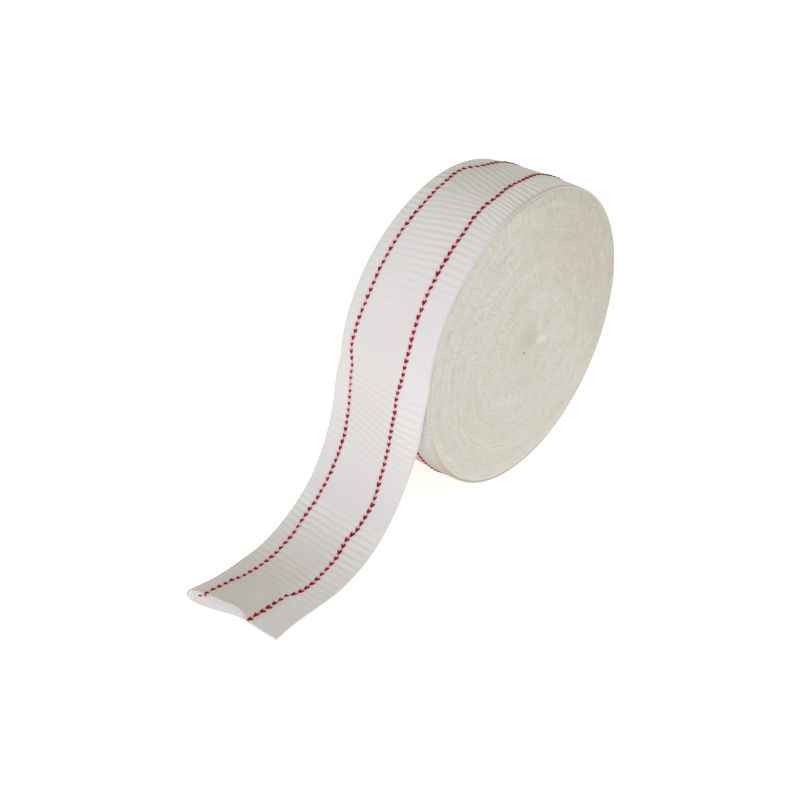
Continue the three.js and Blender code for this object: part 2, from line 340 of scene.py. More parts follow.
def turns_half(name, side, columns, samples, shoulder_drop, seed):
    """One half of the wound turns, its face at side times half the width, with a spiral of folded edges."""
    outermost = wound_radius(tape_starts)
    last = int((outermost - innermost) / turn_pitch * columns)
    step = 360 / columns
    angle = tape_starts - (last - np.arange(last + 1)) * step
    radius = wound_radius(angle)
    arc = np.concatenate([[0], np.cumsum(np.radians(step) * (radius[1:] + radius[:-1]) / 2)])
    in_turn = np.arange(samples) / samples

    radii = radius[:, None] - turn_pitch * (1 - in_turn[None, :])
    angles = np.broadcast_to(angle[:, None], radii.shape)
    arcs = np.broadcast_to(arc[:, None], radii.shape)
    crest = np.broadcast_to(np.sin(np.pi * in_turn), radii.shape)
    plain_x, plain_z = face_spot(angles, np.maximum(radii, least_radius))
    waver = broad_waver * patches(plain_x, plain_z, broad_waver_cell, seed + 6) \
        + fine_waver * patches(plain_x, plain_z, fine_waver_cell, seed + 7) \
        + turn_waver * drift(arc, turn_waver_cell, seed)[:, None] * crest
    free = smooth(radii, steady_core_from, steady_core_to) * smooth(outermost - radii, 0, steady_rim)
    droop = shoulder_drop * np.clip(radii / roll_radius, 0, 1) ** 4
    x, z = face_spot(angles, np.maximum(radii + waver * free - droop, least_radius))
    from_core = np.hypot(x, z)
    streak = around(angles, radii, streak_band, seed + 2)
    marks, kept, pale = near_marks(x, z) if side < 0 else (0 * x, 1 + 0 * x, 0 * x)

    broken = kept * (0.2 + 0.8 * smooth(patches(x, z, ridge_patch, seed + 5), -0.5, 0.9)) \
        * smooth(from_core, smooth_core_from, smooth_core_to)
    fallen = (1 - crest ** 0.7) * broken
    proud = sum(np.exp(-((from_core - ring) / proud_width) ** 2) for ring in proud_radii)
    proud = proud * smooth(patches(x, z, proud_patch, seed + 8), -0.6, 0.5)
    out = half_width + np.interp(radii, face_radii, face_rises) + marks - ridge_height * fallen \
        + broad_swell * patches(x, z, broad_swell_cell, seed + 3) \
        + small_swell * patches(x, z, small_swell_cell, seed + 4) + streak_swell * streak \
        + turn_swell * drift(arcs, turn_swell_cell, seed + 1) * crest + proud_height * proud
    points = [np.column_stack([x.ravel(), side * out.ravel(), axis_height + z.ravel()])]

    # Painted shade over the face, growing towards the top and +X and round the core.
    lean = math.radians(painted_shade_lean)
    leaning = x * math.cos(lean) + z * math.sin(lean) + painted_shade_waver * patches(x, z, painted_shade_waver_cell, seed + 9)
    near_core = core_painted_shade * np.exp(-(from_core / core_painted_shade_reach) ** 2)
    painted_shade = np.maximum(smooth(leaning, painted_shade_from, painted_shade_to), near_core)
    # The streaks are the cotton's own uneven tone; the proud turns are painted lighter, a painted highlight.
    streak_tone_and_highlight = np.clip(0.5 + 0.35 * streak - 0.9 * proud, 0, 1)
    wavy = kept * (0.45 + 0.55 * smooth(z, wavy_from, wavy_to)) \
        * (0.7 + 0.6 * patches(x, z, wavy_patch, seed + 10))

    grid = np.arange((last + 1) * samples).reshape(last + 1, samples)
    edge_ids = grid.size + np.arange(columns)
    outer = np.append(grid[columns:, 0], edge_ids)
    table = np.column_stack([grid, outer])
    quads = np.stack([table[:-1, :-1], table[1:, :-1], table[1:, 1:], table[:-1, 1:]], axis=-1).reshape(-1, 4)

    # The rim under the tape: the last turn's edge and its butt end, in rings to the middle of the width.
    loop = np.concatenate([[grid[last, 0]], edge_ids, grid[last, :0:-1]])
    loop_angle = np.concatenate([angle[last - columns:], np.full(samples - 1, angle[last])])
    loop_radius = np.concatenate([radius[last - columns:], radii[last, :0:-1]])
    edge_angle, edge_radius = loop_angle[1:columns + 1], loop_radius[1:columns + 1]
    edge_x, edge_z = face_spot(edge_angle, edge_radius - shoulder_drop * (edge_radius / roll_radius) ** 4)
    edge_out = half_width + face_rises[-1] - ridge_height
    points.append(np.column_stack([edge_x, np.full(columns, side * edge_out), axis_height + edge_z]))
    count, base = len(loop), grid.size + columns
    before = loop
    rings = []
    for across in rim_rings:
        ring_x, ring_z = face_spot(loop_angle, loop_radius - shoulder_drop * (across / half_width) ** 3)
        height = np.maximum(axis_height + ring_z, rim_over_floor)
        points.append(np.column_stack([ring_x, np.full(count, side * across), height]))
        ring = base + np.arange(count)
        rings.append(np.stack([before, np.roll(before, -1), np.roll(ring, -1), ring], axis=-1))
        before, base = ring, base + count

    # The middle of the width is closed towards the axis, and the face's core towards its hub.
    hub_x, hub_z = first_fold_centre
    hub = [hub_x, side * (half_width - hub_depth), axis_height + hub_z]
    points.append(np.array([[0, 0, axis_height], hub]))
    cap = np.stack([before, np.roll(before, -1), np.full(count, base)], axis=-1)
    inner = grid[:columns + 1, 0]
    core = np.stack([inner[1:], inner[:-1], np.full(columns, base + 1)], axis=-1)
    start = table[0]
    butt = np.stack([start[:-1], start[1:], np.full(samples, base + 1)], axis=-1)
    faces = [quads, np.concatenate(rings), cap, core, butt]
    if side < 0:
        faces = [group[:, ::-1] for group in faces]
    points = np.concatenate(points)
    under_tape = np.full(len(points) - grid.size, rim_value)
    shown = {"groove": fallen, "streak_tone_and_highlight": streak_tone_and_highlight, "painted_shade": painted_shade, "wavy": wavy, "cream_and_highlight": np.clip(pale, 0, 1)}
    values = {key: np.concatenate([value.ravel(), under_tape]) for key, value in shown.items()}
    return piece_from(name, points, faces, values)


folded_edges = face_material()
turns_near = turns_half("turns_near_half", side=-1, columns=410, samples=4,
                        shoulder_drop=near_shoulder_drop, seed=11)
turns_far = turns_half("turns_far_half", side=1, columns=300, samples=3,
                       shoulder_drop=far_shoulder_drop, seed=31)
for turns in (turns_near, turns_far):
    turns.data.materials.append(folded_edges)
    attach(turns, "root")
    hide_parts("wound_roll")

# The tape: the last turn and the loose end, one flattened tube of plain knit with two layers, folded
# at both edges and cut square. It is knitted on a circular frame, so its courses run across it as fine
# ribs, and it lies soft on the roll, hangs off it and rests on the floor with its mouth a little open.
near_edge_on_roll = 0.3 * mm
off_roll = 25 * mm
pressed_thickness = 1.0 * mm
slack_thickness = 1.2 * mm
slack_begins, slack_in_full = 10 * mm, 35 * mm
piece_gap = 0.3 * mm
# The path's places: one every path_step degrees on the roll, and path_samples between two stations off it.
path_step, path_samples = 0.1, 120
# Just past the step angle the loose end laps over its own hidden start, which lifts it by its thickness
# and the gap, and it leaves the roll at the last of these angles.
lap_starts = 0.9 * mm
lap_climb = pressed_thickness + piece_gap
lap_angles = [70, 77, 83.5]
# How far the far edge comes to stand out, from the one angle to the other.
far_lift, far_lift_from, far_lift_to = 2.2 * mm, 22.0, 84.0
# The hanging and lying part, station by station: its underside, how far the near and the far edge stand
# out of it, its shift to the far side and its width.
hanging = {
    "x": [-54.5, -56.7, -61.3, -68.6, -79.0, -91.5, -101.0, -111.0, -119.8],
    "z": [51.5, 38.0, 25.1, 13.4, 4.3, 0.3, 0, 0, 0],
    "near": [-1.1, -0.8, -0.4, -0.3, -0.2, 0, 0, 0, 0],
    "far": [1.5, 1.2, 0.7, 0.4, 0.4, 0, 0, 0, 0],
    "shift": [1.0, 1.8, 2.6, 3.2, 3.7, 3.5, 3.4, 3.6, 4.3],
    "width": [36, 36, 36, 36, 36, 35.2, 34.2, 33.8, 36],
}
# The cut, from the near edge to the far one: how far each layer's end lies past the square, and how far
# the layers gape.
cut = {
    "across": [-18, -14, -10, -5, -2, 0, 2, 6, 10, 14, 18],
    "lower": [-1.1, -0.5, -0.2, -0.2, 0.2, 0.8, 1.6, 3.2, 4.6, 5.5, 4.8],
    "upper": [-0.9, -0.4, -0.2, -0.5, -1.1, -1.1, -0.1, 1.2, 2.0, 3.0, 3.8],
    "gape": [0, 0, 0, 0, 0.8, 1.3, 1.8, 2.2, 2.1, 1.7, 0.5],
}
slant_length, gape_length = 26 * mm, 20 * mm
layer_thickness = 0.35 * mm
mouth_depth = 16 * mm
mouth_across = np.linspace(-4.2, 16.6, 21) * mm
# The section: each folded edge turns through these degrees, and the layers run straight between them.
row_step, run_reach = 0.3 * mm, 0.6 * mm
fold_angles, fold_reach = [155, 115, 70, 30], 0.55 * mm
upper_across = np.linspace(-17.3, 17.3, 31) * mm
under_across = np.linspace(17.2, -17.2, 15) * mm
over_floor = 0.05 * mm


def smooth_through(values, steps, samples):
    """A curve through rows of values, Catmull-Rom, with the steps between their knots."""
    rows = np.vstack([2 * values[0] - values[1], values, 2 * values[-1] - values[-2]])
    gaps = np.concatenate([steps[:1], steps, steps[-1:]])
    a, b, c, d = rows[:-3], rows[1:-2], rows[2:-1], rows[3:]
    g0, g1, g2 = gaps[:-2, None], gaps[1:-1, None], gaps[2:, None]
    leave = ((b - a) / g0 - (c - a) / (g0 + g1) + (c - b) / g1) * g1
    reach = ((c - b) / g1 - (d - b) / (g1 + g2) + (d - c) / g2) * g1
    t = np.linspace(0, 1, samples, endpoint=False)[None, :, None]
    b, c, leave, reach = (part[:, None, :] for part in (b, c, leave, reach))
    curve = (2 * t ** 3 - 3 * t ** 2 + 1) * b + (t ** 3 - 2 * t ** 2 + t) * leave \
        + (3 * t ** 2 - 2 * t ** 3) * c + (t ** 3 - t ** 2) * reach
    return np.vstack([curve.reshape(-1, rows.shape[1]), values[-1:]])


def round_axis(radius, angle):
    """Where a point lies, by x and z, at a radius from the roll's axis."""
    return -radius * np.sin(np.radians(angle)), axis_height + radius * np.cos(np.radians(angle))


def far_edge_on_roll(angle):
    """How far the far edge stands out from the tape's middle."""
    return far_lift * smooth(angle, far_lift_from, far_lift_to) - far_shoulder_drop


def tape_path():
    """The tape's underside in fine steps, from its hidden start to the cut: lengths, places and columns of
    near edge, far edge, shift and width. Then the lengths at the roll's top and at the step angle."""
    wound = np.arange(tape_starts, lap_angles[0], path_step)
    wound_x, wound_z = round_axis(wound_radius(wound) - pressed_thickness, wound)
    lap = np.array([step_angle + math.degrees(lap_starts / roll_radius), *lap_angles])
    lap_radius = roll_radius - lap_climb * (1 - (lap - step_angle) / 360) + piece_gap + out_of_true(lap)
    lap_x, lap_z = round_axis(lap_radius, lap)
    level = np.ones(len(lap))
    on_lap = {"x": lap_x, "z": lap_z, "near": -near_shoulder_drop * level, "far": far_edge_on_roll(lap),
              "shift": 0 * level, "width": 2 * half_width * level}
    loose = np.array([[*on_lap[key], *(np.array(hanging[key]) * mm)] for key in on_lap]).T
    spans = np.linalg.norm(np.diff(loose[:, :2], axis=0), axis=1) ** 0.5
    ends = smooth_through(loose[:, :2], spans, path_samples)[path_samples:]
    columns = smooth_through(loose[:, 2:], np.ones(len(loose) - 1), path_samples)[path_samples:]
    level = np.ones(len(wound))
    flat = np.column_stack([-near_shoulder_drop * level, far_edge_on_roll(wound), 0 * level,
                            2 * half_width * level])
    x, z = np.concatenate([wound_x, ends[:, 0]]), np.concatenate([wound_z, ends[:, 1]])
    length = np.concatenate([[0], np.cumsum(np.hypot(np.diff(x), np.diff(z)))])
    top, step = (length[np.argmin(abs(wound - angle))] for angle in (0, step_angle))
    return length, x, z, np.vstack([flat, columns]), top, step


fine_length, fine_x, fine_z, fine_columns, top_at, step_at = tape_path()
tape_length = fine_length[-1]


def tape_frame(at):
    """Place, outward direction, edge offsets, shift and width of the tape at lengths from its start."""
    x, z = np.interp(at, fine_length, fine_x), np.interp(at, fine_length, fine_z)
    behind, ahead = np.clip(at - run_reach, 0, tape_length), np.clip(at + run_reach, 0, tape_length)
    run_x = np.interp(ahead, fine_length, fine_x) - np.interp(behind, fine_length, fine_x)
    run_z = np.interp(ahead, fine_length, fine_z) - np.interp(behind, fine_length, fine_z)
    run = np.hypot(run_x, run_z)
    near, far, shift, width = (np.interp(at, fine_length, column) for column in fine_columns.T)
    return x, z, run_z / run, -run_x / run, near, far, shift, width


def at_cut(across, key):
    """What the cut's table says for a layer, or for the gape, at places across the tape."""
    return np.interp(across, np.array(cut["across"]) * mm, np.array(cut[key]) * mm)


def thickness_at(at, across):
    """Both layers together: pressed on the roll, slack off it, and gaping at the cut."""
    slack = smooth(at - step_at, slack_begins, slack_in_full)
    gape = at_cut(across, "gape") * (1 - smooth(tape_length - at, 0, gape_length))
    return pressed_thickness + (slack_thickness - pressed_thickness) * slack + gape


def on_roll_at(at):
    """1 on the roll, and down to 0 over the length in which the tape leaves it."""
    return 1 - smooth(at - step_at, 0, off_roll)


def tape_points(at, across, height, top):
    """Points of the tape: length from its start, place across the full width, height over its underside,
    and top: 1 on the upper layer, 0 on the lower one."""
    x, z, out_x, out_z, near, far, shift, width = tape_frame(at)
    lower, upper = at_cut(across, "lower"), at_cut(across, "upper")
    past = (1 - smooth(tape_length - at, 0, slant_length)) * (lower + (upper - lower) * top)
    edge = np.where(across < 0, near, far)
    out = height + edge * np.abs(across / half_width) ** 3
    narrowed = 1 - on_roll_at(at) * near_edge_on_roll / half_width
    return np.stack([
        x + out * out_x - past,
        across * narrowed * width / (2 * half_width) + shift,
        np.maximum(z + out * out_z, over_floor * top)], axis=-1)


# How the ribs lie, by the length along the tape from the roll's top, in mm as all these tables are: how
# far a rib lags towards the cut over the near margin, between the two marker lines and over the far
# margin, and how strongly it shows.
ribs = {
    "from_top": [-300, -60, -25, -4, 4, 9, 13, 17, 21, 24, 30, 42, 50, 60, 78, 85, 92, 102, 108, 116, 128,
                 134, 147, 151, 156, 163, 169, 190],
    "near": [0, 1, -1, -1, -2, -3, -3, -3.5, -3.5, -0.5, 0, 0, 0, 0, 0, 0, 0, 0, 0, 0, 0.5,
             1, 0.5, 0, 0, 0.5, 1, 0],
    "middle": [1, -1, -3, -7, -7, -6, -1, 3.5, 4, 3.5, 2.8, 2.6, 1.5, 0.5, 0.5, -2, -5, -6, -4, -2, 0,
               0, 0, 0, 0, 0.5, 0.8, 0],
    "far": [0, 0.5, 0.5, 0.5, 0.5, 0.5, 0.5, 0.5, 0.5, 0.5, 0.5, 0.3, 0.3, 0, 0, 0, 0, 0, 0, 0, 0,
            0.3, 0.3, 0.3, 0.3, 0.3, 0.3, 0],
    "strength": [0.4, 0.7, 1.0, 1.15, 1.15, 1.1, 0.95, 0.85, 0.75, 0.65, 0.55, 0.4, 0.25, 0.1, 0.12, 0.35,
                 0.45, 0.45, 0.3, 0.1, 0.12, 0.6, 0.7, 0.3, 0.8, 0.65, 0.2, 0.15],
}
# How far the cloth between the marker lines is painted a little darker and warmer, as painted shade, by the
# same length.
middle_shading = {
    "from_top": [-300, -40, -8, 8, 16, 26, 50, 62, 100, 116, 134, 150, 172, 184],
    "share": [0.35, 0.35, 0.45, 0.45, 0.2, 0, 0, 0.2, 0.2, 0, 0, 0.4, 0.85, 0.8],
}
# The two marker lines, by the same length: where they run across, and how bold their stitches are.
near_line = {
    "from_top": [-300, -240, -200, -150, -100, -26, -17, -4.5, 3, 9.5, 14, 20, 27, 36, 50, 66, 76, 84, 90,
                 96, 115, 124, 134, 138.5, 146, 153, 161, 165, 168, 176, 183],
    "across": [-8, -8.5, -9.2, -9.2, -8.6, -6, -5.6, -7.4, -7.6, -8.2, -7.8, -7.8, -8.6, -8.8, -8.6, -8.6,
               -7.8, -7.0, -7.6, -7.2, -8.4, -9.2, -8.6, -7.2, -8.4, -8.6, -9.2, -8.6, -6.8, -6.4, -6.0],
    "bold": [1, 1, 1, 1, 1, 0.9, 0.9, 0.95, 1, 1, 1, 1, 1.05, 1.05, 1, 1, 1, 1, 1,
             1, 1, 1.1, 1.15, 1.15, 1.05, 1, 1.05, 1.15, 0.95, 1.15, 1.35],
}
far_line = {
    "from_top": [-300, -200, -100, -20, -12, -7, -4, -1.5, 1, 4, 9, 16, 24, 28, 55, 65, 75, 81, 90, 100,
                 106, 124, 134, 137, 142, 147, 152, 162, 170, 174, 182],
    "across": [11, 10.6, 11.3, 10.8, 9.9, 9.6, 10.4, 11.9, 12.9, 13.1, 12.2, 12.0, 11.6, 11.8, 12.2, 13.2,
               14.0, 12.6, 11.6, 11.2, 10.6, 11.2, 11.4, 11.8, 11.6, 11.0, 11.0, 10.4, 10.8, 11.6, 11.2],
    "bold": [1, 1, 1, 0.9, 0.9, 0.9, 0.9, 0.9, 0.9, 0.9, 0.95, 0.95, 0.95, 0.95, 0.95, 0.95, 0.9, 0.75,
             0.75, 0.9, 1.0, 0.95, 0.95, 0.95, 0.9, 1.0, 1.0, 0.95, 0.85, 0.95, 1.0],
}
rib_pitch = 2.4 * mm
rib_depth = 0.15 * mm
rib_wander, rib_wander_cell = 0.35 * mm, 6 * mm
rib_uneven, rib_uneven_cell = 0.35, 9 * mm
plain_edge = 1.2 * mm
under_ribs, lining_ribs = 0.5, 0.3
wale_pitch = 0.9 * mm
# Where the painted shade between the marker lines shows across the tape, and the painted shade that greys the
# cloth at its
# folds: on the near one up to the roll's top, and a little on both all along.
middle_shade_from, middle_shade_in_full, middle_shade_cell = -11 * mm, -3 * mm, 9 * mm
less_shade_from, less_shade_to, less_shade = 9 * mm, 15 * mm, 0.4
near_fold_from, near_fold_to, near_fold_fades = 16.2 * mm, 17.6 * mm, 30 * mm
any_fold_from, any_fold_to, any_fold_grey = 17.3 * mm, 17.9 * mm, 0.45
far_from_line = 9 * mm


def on_line(line, at):
    """Where a marker line runs across the tape at lengths from the tape's start."""
    return np.interp(at - top_at, np.array(line["from_top"]) * mm, np.array(line["across"]) * mm)


def rib_course(at, across):
    """Which course a point is on, in metres of tape, and how strongly the ribs show there."""
    from_top = at - top_at
    stations = np.array(ribs["from_top"]) * mm
    near_lag, middle_lag, far_lag, strength = (
        np.interp(from_top, stations, np.array(ribs[key])) for key in ("near", "middle", "far", "strength"))
    near_y, far_y = on_line(near_line, at), on_line(far_line, at)
    in_near = np.clip((across + half_width) / (near_y + half_width), 0, 1)
    in_middle = np.clip((across - near_y) / (far_y - near_y), 0, 1)
    in_far = np.clip((across - far_y) / (half_width - far_y), 0, 1)
    lag = near_lag * (in_near - 1) + middle_lag * (in_middle - 0.5) + far_lag * in_far
    wander = rib_wander * patches(at, across, rib_wander_cell, 71)
    uneven = 0.75 + rib_uneven * patches(at, across, rib_uneven_cell, 72)
    folded_away = smooth(half_width - np.abs(across), 0, plain_edge)
    return at - lag * mm + wander, strength * uneven * folded_away


def strip(first, first_across, second, second_across):
    """Triangles between two rows of points that both run from near to far."""
    i, j, triangles = 0, 0, []
    while i + 1 < len(first) or j + 1 < len(second):
        first_next = first_across[i + 1] if i + 1 < len(first) else math.inf
        second_next = second_across[j + 1] if j + 1 < len(second) else math.inf
        if first_next <= second_next:
            triangles.append([first[i], first[i + 1], second[j]])
            i += 1
        else:
            triangles.append([first[i], second[j + 1], second[j]])
            j += 1
    return triangles


def tape_piece():
    """The flattened tube as one closed body, with a pocket between its layers at the cut."""
    rows = np.append(np.arange(0, tape_length - row_step / 2, row_step), tape_length)
    turned = np.radians(fold_angles)
    fold_across = half_width - fold_reach + fold_reach * np.sin(turned)
    fold_top = 0.5 * (1 + np.cos(turned))
    folds, straight = len(fold_angles), len(upper_across)
    ring_across = np.concatenate([-fold_across, upper_across, fold_across[::-1], under_across])
    ring_top = np.concatenate([fold_top, np.ones(straight), fold_top[::-1], np.zeros(len(under_across))])
    at, across = np.broadcast_arrays(rows[:, None], ring_across[None, :])
    top = np.broadcast_to(ring_top, at.shape)
    outer = tape_points(at, across, thickness_at(at, across) * top, top)
    grid = np.arange(at.size).reshape(at.shape)
    after = np.roll(grid, -1, axis=1)
    outside = np.stack([grid[:-1], after[:-1], after[1:], grid[1:]], axis=-1).reshape(-1, 4)

    # The open mouth: a pocket from the cut inwards, its roof first and then its bed, back again.
    pocket_rows = np.arange(tape_length - mouth_depth, tape_length - row_step, 2 * row_step)
    pocket_rows = np.append(pocket_rows, tape_length)
    pocket_ring = np.concatenate([mouth_across, mouth_across[::-1]])
    pocket_at, pocket_across = np.broadcast_arrays(pocket_rows[:, None], pocket_ring)
    wide = len(mouth_across)
    pocket_top = np.broadcast_to(np.repeat([1.0, 0.0], wide), pocket_at.shape)
    ceiling = thickness_at(pocket_at, pocket_across) - layer_thickness
    pocket_height = np.where(pocket_top > 0, ceiling, layer_thickness)
    pocket = tape_points(pocket_at, pocket_across, pocket_height, pocket_top)
    inner = grid.size + np.arange(pocket_at.size).reshape(pocket_at.shape)
    inner_after = np.roll(inner, -1, axis=1)
    lining = np.stack([inner[:-1], inner[1:], inner_after[1:], inner_after[:-1]], axis=-1).reshape(-1, 4)

    # Both ends are closed across the thickness, but for the mouth.
    upper_count = straight + 2 * folds
    upper, under = slice(0, upper_count), slice(None, upper_count - 1, -1)
    upper_at, under_at = ring_across[upper], ring_across[under]
    end_upper, end_under = grid[-1, upper], grid[-1, under]
    near_end, far_end = mouth_across[0], mouth_across[-1]
    ua = np.searchsorted(upper_across, near_end) + folds - 1
    ub = np.searchsorted(upper_across, far_end) + folds
    la, lb = np.searchsorted(under_at, near_end) - 1, np.searchsorted(under_at, far_end)
    roof, bed = inner[-1, :wide], inner[-1, :wide - 1:-1]
    closing = strip(end_upper[:ua + 1], upper_at[:ua + 1], end_under[:la + 1], under_at[:la + 1])
    closing += strip(end_upper[ua:ub + 1], upper_at[ua:ub + 1], roof, mouth_across)
    closing += strip(bed, mouth_across, end_under[la:lb + 1], under_at[la:lb + 1])
    closing += strip(end_upper[ub:], upper_at[ub:], end_under[lb:], under_at[lb:])
    closing += strip(inner[0, :wide], mouth_across, inner[0, :wide - 1:-1], mouth_across)
    closing += [t[::-1] for t in strip(grid[0, upper], upper_at, grid[0, under], under_at)]
    joints = np.array([[end_under[la], end_upper[ua], roof[0], bed[0]],
                       [end_upper[ub], end_under[lb], bed[-1], roof[-1]]])
    faces = [outside, lining, joints, np.array(closing)]

    # What the materials read at each point: the ribs, the marker lines' place, the lining, and where shade is
    # painted: between the marker lines, at the folds and where the tape faces down on the roll.
    all_at = np.concatenate([at.ravel(), pocket_at.ravel()])
    all_across = np.concatenate([across.ravel(), pocket_across.ravel()])
    all_top = np.concatenate([top.ravel(), pocket_top.ravel()])
    is_outer = np.arange(len(all_at)) < at.size
    course, strength = rib_course(all_at, all_across)
    strength = strength * np.where(is_outer, np.where(all_top > 0.2, 1.0, under_ribs), lining_ribs)
    from_line = np.minimum(abs(all_across - on_line(near_line, all_at)),
                           abs(all_across - on_line(far_line, all_at)))
    # Painted shade, darker and warmer, between the marker lines.
    share = np.interp(all_at - top_at, np.array(middle_shading["from_top"]) * mm, middle_shading["share"])
    middle = smooth(all_across, middle_shade_from, middle_shade_in_full) \
        * (1 - less_shade * smooth(all_across, less_shade_from, less_shade_to))
    middle_shade = share * (0.25 + 0.75 * middle) * (0.9 + 0.3 * patches(all_at, all_across, middle_shade_cell, 73))
    # Painted shade at the folds: on the near one up to the roll's top, and a little on both all along.
    near_fold_shade = smooth(-all_across, near_fold_from, near_fold_to) \
        * (1 - smooth(all_at - top_at, 0, near_fold_fades))
    any_fold_shade = any_fold_grey * smooth(np.abs(all_across), any_fold_from, any_fold_to)
    _, _, _, faces_up, *_ = tape_frame(all_at)
    values = {"course": course, "rib_strength": strength,
              "from_line": np.where(is_outer, from_line, far_from_line),
              "inside": np.where(is_outer, 0, 1),
              "middle_shade": is_outer * middle_shade,
              "fold": is_outer * (near_fold_shade + any_fold_shade),
              # Painted shade where the tape faces down on the roll.
              "under": is_outer * on_roll_at(all_at) * all_top * smooth(-faces_up, 0.1, 0.8)}
    corners = np.concatenate([group.ravel() for group in faces])
    points = np.concatenate([outer.reshape(-1, 3), pocket.reshape(-1, 3)])
    return piece_from("tape", points, faces, values, np.column_stack([all_at, all_across])[corners])


def new_tree(name, sizes):
    """A Geometry Nodes tree with one geometry in and out and named numbers for its sizes."""
    tree = bpy.data.node_groups.new(name, "GeometryNodeTree")
    face = tree.interface
    face.new_socket("Geometry", in_out="INPUT", socket_type="NodeSocketGeometry")
    for label, kind in sizes.items():
        face.new_socket(label, in_out="INPUT", socket_type=kind)
    face.new_socket("Geometry", in_out="OUTPUT", socket_type="NodeSocketGeometry")
    given = tree.nodes.new("NodeGroupInput")
    return tree, {socket.name: Wire(socket) for socket in given.outputs if socket.name}


def run_tree(piece, tree, geometry, sizes):
    """Ends the tree, runs it on the piece with these sizes and leaves the plain mesh that it makes."""
    sink = tree.nodes.new("NodeGroupOutput")
    tree.links.new(geometry.socket, sink.inputs[0])
    modifier = piece.modifiers.new(tree.name, "NODES")
    modifier.node_group = tree
    for item in tree.interface.items_tree:
        if item.in_out == "INPUT" and item.name in sizes:
            modifier[item.identifier] = sizes[item.name]
    evaluated = piece.evaluated_get(bpy.context.evaluated_depsgraph_get())
    mesh = bpy.data.meshes.new_from_object(evaluated)
    piece.modifiers.clear()
    spare = piece.data
    piece.data = mesh
    if spare.users == 0:
        bpy.data.meshes.remove(spare)
    mesh.name = piece.name


def named_value(tree, name, kind="FLOAT"):
    return add_node(tree, "GeometryNodeInputNamedAttribute", {"Name": name}, data_type=kind)


def rib_hollow(course, pitch):
    """How deep the knit lies between ribs, from 0 to 1: a broad dip for each rib and a faint second one."""
    turn = course * (2 * math.pi) / pitch
    broad = turn.maths("COSINE") * 0.5 + 0.5
    faint = (turn * 2).maths("COSINE") * 0.5 + 0.5
    return broad * 0.85 + faint * 0.15


yarn_halo, halo_share = 1.15 * mm, 0.42
hollow_shade = 0.46


def knit_material():
    """Plain knit of bleached cotton: soft white, and pink beside the marker yarn. Painted shade makes it
    greyer between ribs, where it is folded and where it faces down on the roll, and darker and warmer between
    the marker lines. A painted highlight lightens it where the ribs show strongly, and the lining at the
    mouth is painted lighter and glows a little."""
    material = new_material("white_cotton_knit")
    tree = material.node_tree
    place = object_place(tree)
    course, strength, from_line = point_values(tree, "course", "rib_strength", "from_line")
    inside, fold, under, middle_shade = point_values(tree, "inside", "fold", "under", "middle_shade")
    along = add_node(tree, "ShaderNodeUVMap", uv_map="along_tape")
    across = add_node(tree, "ShaderNodeSeparateXYZ", {0: along}, output=1)
    blotch = cloud(tree, place, 60.0, 3.0)
    fuzz = cloud(tree, place, 2400.0, 2.0)
    wale = (across * (2 * math.pi / wale_pitch)).maths("COSINE")
    hollow = rib_hollow(course, rib_pitch) * strength
    white = mix_colours(tree, blotch, colour(233, 227, 232), colour(229, 227, 228))
    # Painted light: the lining inside the mouth is lighter.
    lining_painted_light = mix_colours(tree, inside, white, colour(246, 242, 243))
    # Painted highlight: lighter where the ribs show strongly.
    painted_crest_light = mix_colours(tree, strength.maths("MINIMUM", 1.0), lining_painted_light, colour(250, 247, 242))
    # Painted shade: darker and warmer between the marker lines.
    middle_shaded = mix_colours(tree, middle_shade, painted_crest_light, colour(205, 200, 184))
    # Painted shade at the folds.
    fold_shaded = mix_colours(tree, fold, middle_shaded, colour(210, 206, 196))
    # Painted shade where the tape faces down on the roll.
    underside_shaded = mix_colours(tree, under, fold_shaded, colour(160, 149, 130))
    # Painted shade in the hollows between the ribs.
    shade = mix_colours(tree, (hollow * hollow_shade).maths("MINIMUM", 1.0), underside_shaded, colour(172, 166, 150))
    beside = (1 - from_line / yarn_halo).maths("MAXIMUM", 0.0)
    tinted = mix_colours(tree, (beside * 1.2).maths("MINIMUM", halo_share), shade, colour(240, 190, 190))
    # Painted light: the lining glows a little.
    painted_glow = mix_colours(tree, inside, colour(0, 0, 0), colour(255, 250, 252))
    relief = bumped(tree, 0.15 * wale + 1.1 * fuzz - 1.6 * hollow - 1.0 * beside, 0.45, 0.07 * mm)
    return finish_material(material, {"Base Color": tinted, "Roughness": 0.95, "Normal": relief,
                                      "Sheen Weight": 0.15, "Specular IOR Level": 0.15,
                                      "Emission Color": painted_glow, "Emission Strength": 0.05})


tape = tape_piece()
white_knit = knit_material()
tape.data.materials.append(white_knit)
rib_sizes = {"Rib Pitch": "NodeSocketFloat", "Rib Depth": "NodeSocketFloat", "Knit": "NodeSocketMaterial"}
rib_tree, given = new_tree("knitted_ribs", rib_sizes)
sunk = rib_hollow(named_value(rib_tree, "course"), given["Rib Pitch"]) * named_value(rib_tree, "rib_strength")
outwards = add_node(rib_tree, "GeometryNodeInputNormal")
lift = add_node(rib_tree, "ShaderNodeVectorMath",
                {0: outwards, "Scale": sunk * given["Rib Depth"] * -1}, operation="SCALE")
ribbed = add_node(rib_tree, "GeometryNodeSetPosition", {"Geometry": given["Geometry"], "Offset": lift})
knitted = add_node(rib_tree, "GeometryNodeSetMaterial", {"Geometry": ribbed, "Material": given["Knit"]})
run_tree(tape, rib_tree, knitted, {"Rib Pitch": rib_pitch, "Rib Depth": rib_depth, "Knit": white_knit})
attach(tape, "root")
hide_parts("loose_end")

